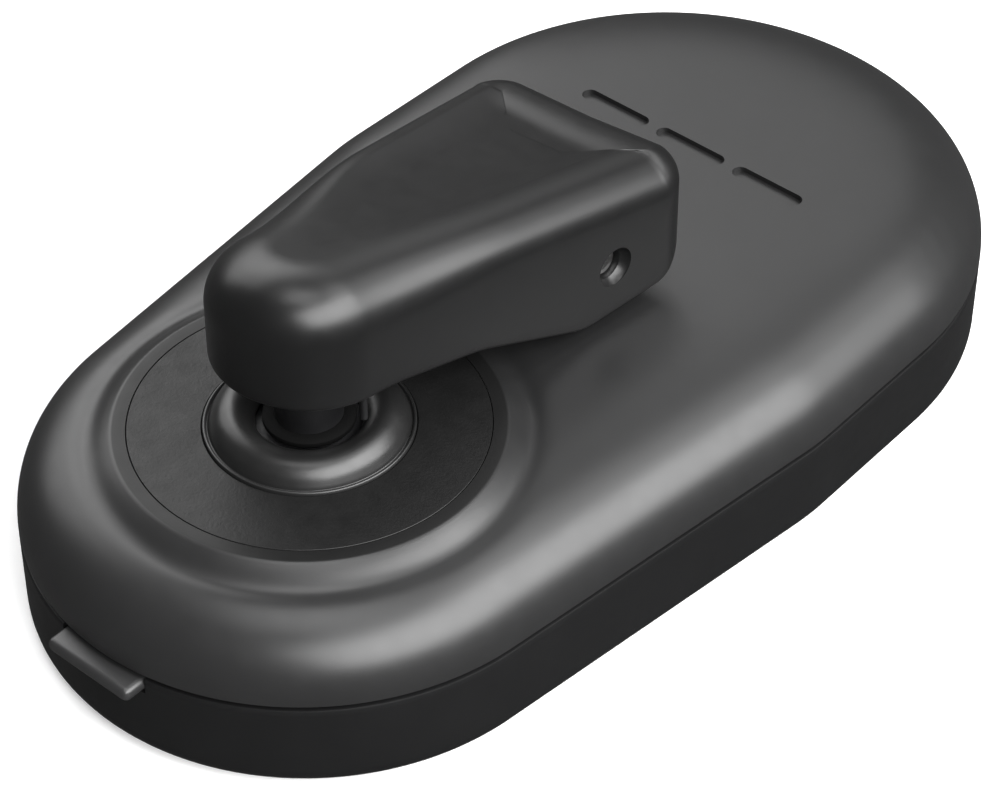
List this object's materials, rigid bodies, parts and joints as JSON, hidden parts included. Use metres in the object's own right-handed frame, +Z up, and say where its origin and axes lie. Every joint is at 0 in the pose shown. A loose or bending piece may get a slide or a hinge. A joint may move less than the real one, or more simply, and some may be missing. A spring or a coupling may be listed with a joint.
{
  "type": "wireless handlebar paddle remote",
  "caption": "Slim oval wireless remote with a rocking thumb paddle on a booted post, a small end button and a coin-cell door in the base.",
  "frame": {"origin": "middle of the footprint on the base plane", "axes": "+Z up from the base, +Y along the pod from the paddle's post towards its wide end, +X to the right seen from above with +Y ahead"},
  "size_m": [0.0398, 0.072, 0.026],
  "materials": {
    "cover_plastic": "satin charcoal moulding",
    "shell_plastic": "satin black moulding",
    "paddle_plastic": "smooth satin black moulding",
    "button_plastic": "satin black moulding",
    "disk_plastic": "fine-grained matte black",
    "boot_rubber": "smooth black moulded rubber",
    "seal_rubber": "black rubber",
    "inner_plastic": "black glass-filled plastic",
    "board": "green solder mask",
    "steel": "plain steel",
    "cell_steel": "nickel-plated steel",
    "contact_metal": "plated spring metal",
    "brass": "turned brass",
    "stem_metal": "black anodised",
    "lever_metal": "black anodised"
  },
  "bodies": {
    "housing": {"upper_cover": "cover_plastic", "lower_shell": "shell_plastic", "seam_gasket": "seal_rubber", "housing_screws": "steel", "mount_inserts": "brass", "coin_cell": "cell_steel", "contact_positive": "contact_metal", "contact_negative": "contact_metal", "circuit_board": "board", "radio_module": "cell_steel", "switch_left": "inner_plastic", "switch_right": "inner_plastic", "spring_left": "steel", "spring_right": "steel", "function_switch": "inner_plastic", "hub_disk": "disk_plastic", "rubber_boot": "boot_rubber", "rocker_bracket": "inner_plastic", "pivot_pin": "steel"},
    "rocker": {"rocker_carrier": "inner_plastic", "stem": "stem_metal", "stem_seal": "boot_rubber", "lever_arm": "lever_metal", "paddle": "paddle_plastic", "paddle_set_screw": "steel", "locating_pin": "stem_metal"},
    "plunger_left": {"plunger_left": "inner_plastic"},
    "plunger_right": {"plunger_right": "inner_plastic"},
    "function_button": {"function_button": "button_plastic", "function_plunger": "inner_plastic"},
    "battery_door": {"battery_door": "shell_plastic", "battery_door_seal": "seal_rubber"}
  },
  "joints": [
    {"name": "paddle_rock", "type": "hinge", "parent": "housing", "child": "rocker", "pos_m": [0, -0.01755, 0.0093], "axis": [0, 1, 0], "range_deg": [-3.5, 3.5], "stiffness_Nm_per_rad": 0.5},
    {"name": "plunger_left_travel", "type": "slide", "parent": "housing", "child": "plunger_left", "axis": [0, 0, 1], "range_m": [-0.0004, 0.0004], "deforming": ["spring_left"]},
    {"name": "plunger_right_travel", "type": "slide", "parent": "housing", "child": "plunger_right", "axis": [0, 0, 1], "range_m": [-0.0004, 0.0004], "deforming": ["spring_right"]},
    {"name": "function_button_press", "type": "slide", "parent": "housing", "child": "function_button", "axis": [0, 1, 0], "range_m": [0, 0.0005], "stiffness_N_per_m": 800},
    {"name": "battery_door_turn", "type": "hinge", "parent": "housing", "child": "battery_door", "pos_m": [0, 0.014, 0.001], "axis": [0, 0, 1], "range_deg": [0, 45]}
  ],
  "couplings": [
    {"joint": "plunger_left_travel", "follows": "paddle_rock", "m_per_rad": 0.0063},
    {"joint": "plunger_right_travel", "follows": "paddle_rock", "m_per_rad": -0.0063}
  ]
}
